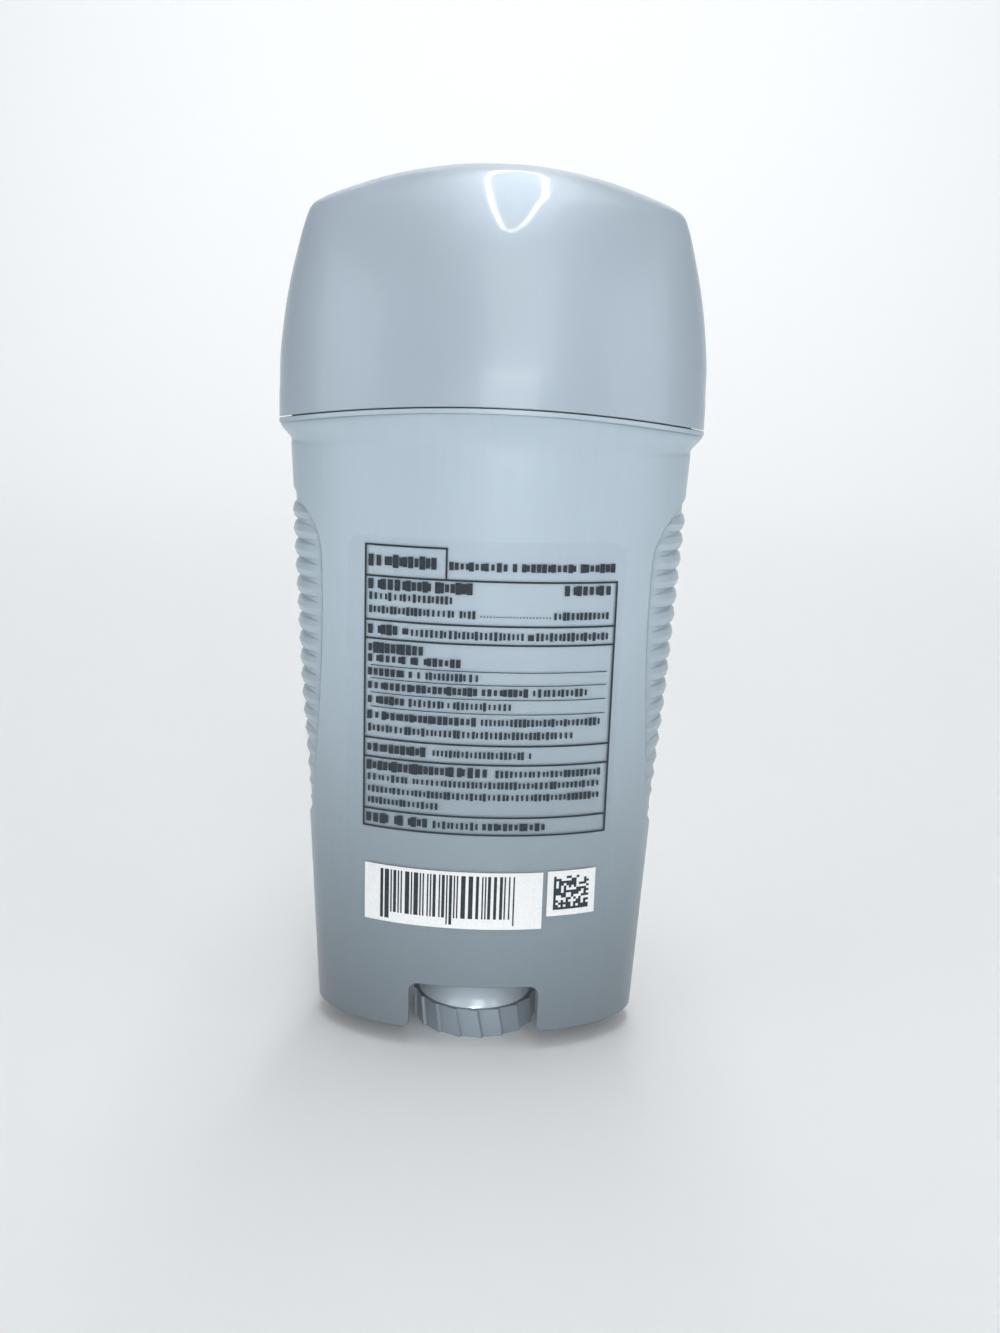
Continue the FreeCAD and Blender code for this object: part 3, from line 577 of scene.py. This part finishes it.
def frame_fields(rule, thin):
    """The stepped frame, its heavy and light rules, the bullets and the dotted leader."""
    left, right = PRINT_LEFT, PRINT_RIGHT
    half, thin_half = 0.5 * rule, 0.5 * thin
    fields = [(left - half, left + half, FRAME_LOW - half, TAB_HIGH + half),
              (left - half, TAB_RIGHT + half, TAB_HIGH - half, TAB_HIGH + half),
              (TAB_RIGHT - half, TAB_RIGHT + half, FRAME_HIGH, TAB_HIGH),
              (left - half, right + half, FRAME_HIGH - half, FRAME_HIGH + half),
              (right - half, right + half, FRAME_LOW, FRAME_HIGH),
              (left - half, right + half, FRAME_LOW - half, FRAME_LOW + half)]
    fields += [(left, right, z - half, z + half) for z in HEAVY_RULES]
    inner_left, inner_right = left + LIGHT_RULE_INSET, right - LIGHT_RULE_INSET
    fields += [(inner_left, inner_right, z - thin_half, z + thin_half) for z in LIGHT_RULES]
    for x, z in BULLETS:
        fields.append((x - BULLET_HALF, x + BULLET_HALF, z - BULLET_HALF, z + BULLET_HALF))
    for i in range(LEADER_DOTS):
        x = LEADER_START + (LEADER_END - LEADER_START) * i / LEADER_DOTS
        fields.append((x, x + DOT_WIDTH, LEADER_HEIGHT - DOT_HALF_HEIGHT, LEADER_HEIGHT + DOT_HALF_HEIGHT))
    return fields


def bar_fields():
    """Plain upright bars of uneven width by chance, which say nothing. Those at both ends and in the middle
    are a little longer."""
    chance = random.Random(bpy.context.scene.stick_print.seed)
    left, right, low, high = BAR_FIELD
    unit = (right - left) / BAR_UNITS
    fields = []
    at = 0
    while at < BAR_UNITS - 2:
        width = chance.choice((1, 1, 2, 3))
        gap = chance.choice((1, 1, 2, 2))
        is_long = any(first <= at <= last for first, last in LONG_BARS)
        foot = low - LONG_BAR_DROP if is_long else low
        fields.append((left + at * unit, left + min(at + width, BAR_UNITS) * unit, foot, high))
        at += width + gap
    return fields


def cell_fields():
    """Small square cells scattered evenly over the square patch, with two solid edges."""
    chance = random.Random(bpy.context.scene.stick_print.seed + 1)
    x0, x1, z0, z1 = SQUARE_PATCH
    cell = (x1 - x0 - 2 * SQUARE_MARGIN) / SQUARE_CELLS
    fields = []
    for row in range(SQUARE_CELLS):
        for column in range(SQUARE_CELLS):
            if column == 0 or row == 0 or chance.random() < 0.5:
                x = x0 + SQUARE_MARGIN + column * cell
                z = z0 + SQUARE_MARGIN + row * cell
                fields.append((x, x + cell, z, z + cell))
    return fields


# Studio, in metres

SWEEP_HALF_WIDTH = 2.2
SWEEP_FRONT, SWEEP_BACK, SWEEP_TOP = -1.6, 1.5, 2.2
SWEEP_BEND = 0.7

MIDDLE = (0.0, 0.0, 0.08)
WHITE, COOL = (1.0, 1.0, 1.0), (0.95, 0.98, 1.0)

# Each softbox: its place, what it looks at, its width and height, the angle it spreads over in degrees,
# its share of the key power, and its tint
SOFTBOXES = {
    "window": ((0.13, -0.76, 0.56), MIDDLE, (0.34, 0.8), 180, 0.85, WHITE),
    "low_window": ((0.06, -0.60, 0.12), (0.0, 0.0, 0.01), (0.2, 0.2), 180, 0.22, WHITE),
    "fill_right": ((0.75, -0.45, 0.30), MIDDLE, (0.6, 0.8), 180, 0.75, COOL),
    "fill_left": ((-0.75, -0.45, 0.28), MIDDLE, (0.6, 0.8), 180, 0.8, COOL),
    "backdrop_light": ((0.0, 0.35, 1.9), (0.0, 1.5, 0.8), (1.6, 0.8), 110, 7.2, WHITE),
}

SPOT_PLACE, SPOT_AIM = (0.0, -0.45, 0.10), (0.0, -0.008, 0.006)
SPOT_CONE = 6
SPOT_SHARE = 1.6
SPOT_SOFTNESS = 0.02

RING_CENTRE = (0.03, 0.03, 0.74)
RING_HALF_WIDTH, RING_HALF_LENGTH, RING_TUBE_RADIUS = 0.06, 0.36, 0.004
RING_STRENGTH = 60.0

SKY_TINT = (0.93, 0.96, 1.0)

CAMERA_PLACE = (0.0025, -0.2106, 0.1039)
CAMERA_PITCH, CAMERA_ROLL = 12.0, 1.9


def put_on_stage(name, data):
    """Links a mesh, or hangs a lamp, that belongs to the studio and not to the stick."""
    holder = bpy.data.objects.new(name, data)
    bpy.context.scene.collection.objects.link(holder)
    return holder


def point_at(holder, place, aim):
    """Moves a lamp to its place and turns it to look at a point."""
    holder.location = place
    holder.rotation_euler = (Vector(aim) - Vector(place)).to_track_quat("-Z", "Y").to_euler()


def build_sweep(material):
    """A floor that turns up into a backdrop on a wide curve."""
    foot, steps = SWEEP_BACK - SWEEP_BEND, 24
    profile = [(SWEEP_FRONT, 0.0), (foot, 0.0)]
    for i in range(1, steps + 1):
        a = math.pi / 2 * i / steps
        profile.append((foot + SWEEP_BEND * math.sin(a), SWEEP_BEND - SWEEP_BEND * math.cos(a)))
    profile.append((SWEEP_BACK, SWEEP_TOP))
    mesh = bpy.data.meshes.new("paper_sweep")
    points = [(x, y, z) for y, z in profile for x in (-SWEEP_HALF_WIDTH, SWEEP_HALF_WIDTH)]
    faces = [(2 * i, 2 * i + 1, 2 * i + 3, 2 * i + 2) for i in range(len(profile) - 1)]
    mesh.from_pydata(points, [], faces)
    mesh.materials.append(material)
    mesh.shade_smooth()
    put_on_stage("paper_sweep", mesh)


def build_lights(key_power):
    """A tall soft window in front, a small low one beneath it, weaker fills at both sides, light on the
    backdrop, and a narrow soft spot that reaches into the finger notch, to the dial's crown."""
    for name, (place, aim, size, spread, share, tint) in SOFTBOXES.items():
        lamp = bpy.data.lights.new(name, "AREA")
        lamp.shape = "RECTANGLE"
        lamp.size, lamp.size_y = size
        lamp.spread = math.radians(spread)
        lamp.energy = share * key_power
        lamp.color = tint
        point_at(put_on_stage(name, lamp), place, aim)
    spot = bpy.data.lights.new("notch_spot", "SPOT")
    spot.energy = SPOT_SHARE * key_power
    spot.spot_size = math.radians(SPOT_CONE)
    spot.spot_blend = 1.0
    spot.shadow_soft_size = SPOT_SOFTNESS
    point_at(put_on_stage("notch_spot", spot), SPOT_PLACE, SPOT_AIM)


def build_ring_lamp(material):
    """A slim glowing oval tube over the stick, which the gloss of the cap's crown mirrors as a loop."""
    around, across = 96, 10
    tube = bmesh.new()
    rings = []
    for i in range(around):
        a = 2 * math.pi * i / around
        ring = []
        for j in range(across):
            b = 2 * math.pi * j / across
            out = RING_TUBE_RADIUS * math.cos(b)
            x = (RING_HALF_WIDTH + out) * math.cos(a)
            y = (RING_HALF_LENGTH + out) * math.sin(a)
            ring.append(tube.verts.new((x, y, RING_TUBE_RADIUS * math.sin(b))))
        rings.append(ring)
    skin_rings(tube, rings)
    mesh = bpy.data.meshes.new("ring_lamp")
    tube.to_mesh(mesh)
    tube.free()
    mesh.materials.append(material)
    put_on_stage("ring_lamp", mesh).location = RING_CENTRE


def build_world(strength):
    """Even, slightly cool light from all round."""
    world = bpy.context.scene.world or bpy.data.worlds.new("studio")
    bpy.context.scene.world = world
    world.use_nodes = True
    world.node_tree.nodes.clear()
    glow = add(world.node_tree, "ShaderNodeBackground", {"Color": rgba(SKY_TINT), "Strength": strength})
    add(world.node_tree, "ShaderNodeOutputWorld", links={"Surface": glow.outputs["Background"]})


def build_camera(lens):
    """The photograph's view: from in front, a little above and tipped down, rolled slightly."""
    lens_data = bpy.data.cameras.new("camera")
    lens_data.sensor_fit = "VERTICAL"
    lens_data.sensor_height = 36.0
    lens_data.lens = lens
    lens_data.clip_start = 0.01
    camera = bpy.data.objects.new("camera", lens_data)
    tip = Euler((math.radians(90.0 - CAMERA_PITCH), 0.0, 0.0)).to_matrix()
    turn = tip @ Matrix.Rotation(math.radians(CAMERA_ROLL), 3, "Z")
    camera.matrix_world = Matrix.Translation(CAMERA_PLACE) @ turn.to_4x4()
    bpy.context.scene.collection.objects.link(camera)
    bpy.context.scene.camera = camera


# Operators

class STICK_OT_cap(bpy.types.Operator):
    """Finishes the domed cap"""
    bl_idname = "stick.cap"
    bl_label = "Cap"

    def execute(self, context):
        moulded = pearly_polypropylene("Moulded pearl polypropylene cap", colours().cap,
                                       roughness=0.38, painted_sheen_edge=0.86, flow=0.006, polish=0.07)
        dress("cap", moulded)
        return {"FINISHED"}


class STICK_OT_barrel(bpy.types.Operator):
    """Finishes the barrel with its grips"""
    bl_idname = "stick.barrel"
    bl_label = "Barrel"

    def execute(self, context):
        moulded = pearly_polypropylene("Moulded pearl polypropylene barrel", colours().barrel,
                                       roughness=0.42, painted_sheen_edge=0.82, flow=0.012, painted_base_shade=0.36)
        dress("barrel", moulded)
        return {"FINISHED"}


class STICK_OT_inside(bpy.types.Operator):
    """Finishes the dial with its screw, the elevator and the product"""
    bl_idname = "stick.inside"
    bl_label = "Dial, elevator and product"

    def execute(self, context):
        moulded = pearly_polypropylene("Moulded pearl polypropylene dial", colours().dial,
                                       roughness=0.36, painted_sheen_edge=0.85, flow=0.008)
        dress("dial_screw", moulded)
        # Painted light: the crown gets a much lighter copy of the dial's pearl, to brighten the dome in the
        # finger notch
        lightened_crown = pearly_polypropylene("Pearl polypropylene crown painted lighter", colours().crown,
                                        roughness=0.2, painted_sheen_edge=0.9, flow=0.004, polish=0.05)
        place_piece("dial_dome", dial_crown(), lightened_crown, "dial")
        dress("elevator", natural_polypropylene("Moulded natural polypropylene", colours().nut))
        dress("stick", product_wax("Poured wax product", colours().product))
        return {"FINISHED"}


class STICK_OT_film(bpy.types.Operator):
    """Finishes the clear film and prints its generic panel"""
    bl_idname = "stick.film"
    bl_label = "Film and print"

    def execute(self, context):
        props = context.scene.stick_print
        dress("back_label", clear_film("Clear label film"))
        ink = printing_ink("Slate printing ink", colours().ink)
        white = printing_ink("White printing ink", colours().white_ink)
        lift = FILM_TOP_OF_WALL + props.lift / MM
        pitch = props.block_pitch / MM
        for name, lines, wide, fill in TYPE_SETTINGS:
            set_type(name, lines, wide * pitch, fill, ink)
        rules = flat_fields(frame_fields(props.rule / MM, props.thin_rule / MM))
        wrap(rules, lift)
        place_piece("print_frame", rules, ink, "barrel")
        patches = flat_fields([WHITE_PATCH, SQUARE_PATCH])
        wrap(patches, lift)
        place_piece("print_patches", patches, white, "barrel")
        bars = flat_fields(bar_fields() + cell_fields())
        wrap(bars, lift + props.lift / MM)
        place_piece("print_bars", bars, ink, "barrel")
        return {"FINISHED"}


class STICK_OT_stage(bpy.types.Operator):
    """Builds the studio: paper sweep, soft light and camera"""
    bl_idname = "stick.stage"
    bl_label = "Studio"

    def execute(self, context):
        props = context.scene.stick_studio
        build_sweep(seamless_paper("Studio background paper", colours().backdrop))
        build_lights(props.key_power)
        build_ring_lamp(glowing_tube("Ring lamp tube", RING_STRENGTH))
        build_world(props.sky)
        build_camera(props.lens)
        context.scene.view_settings.view_transform = "Standard"
        return {"FINISHED"}


class STICK_PT_panel(bpy.types.Panel):
    """Lists the stick's pieces and its settings"""
    bl_idname = "STICK_PT_panel"
    bl_label = "Deodorant stick"
    bl_space_type = "VIEW_3D"
    bl_region_type = "UI"
    bl_category = "Stick"

    def draw(self, context):
        layout = self.layout
        for operator in PIECE_OPERATORS:
            layout.operator(operator.bl_idname)
        for group in (context.scene.stick_colours, context.scene.stick_print, context.scene.stick_studio):
            box = layout.box()
            for name in group.__annotations__:
                box.prop(group, name)


PIECE_OPERATORS = (STICK_OT_cap, STICK_OT_barrel, STICK_OT_inside, STICK_OT_film, STICK_OT_stage)
GROUPS = {"stick_colours": StickColours, "stick_print": StickPrint, "stick_studio": StickStudio}


def register():
    """Registers the settings, the operators and the panel."""
    for group in (*GROUPS.values(), *PIECE_OPERATORS, STICK_PT_panel):
        bpy.utils.register_class(group)
    for name, group in GROUPS.items():
        setattr(bpy.types.Scene, name, PointerProperty(type=group))


def unregister():
    """Takes them out again, in the opposite order."""
    for name in GROUPS:
        delattr(bpy.types.Scene, name)
    for group in reversed((*GROUPS.values(), *PIECE_OPERATORS, STICK_PT_panel)):
        bpy.utils.unregister_class(group)


def main():
    """Finishes every piece and builds the studio."""
    register()
    bpy.ops.stick.cap()
    bpy.ops.stick.barrel()
    bpy.ops.stick.inside()
    bpy.ops.stick.film()
    bpy.ops.stick.stage()


if __name__ == "__main__":
    main()
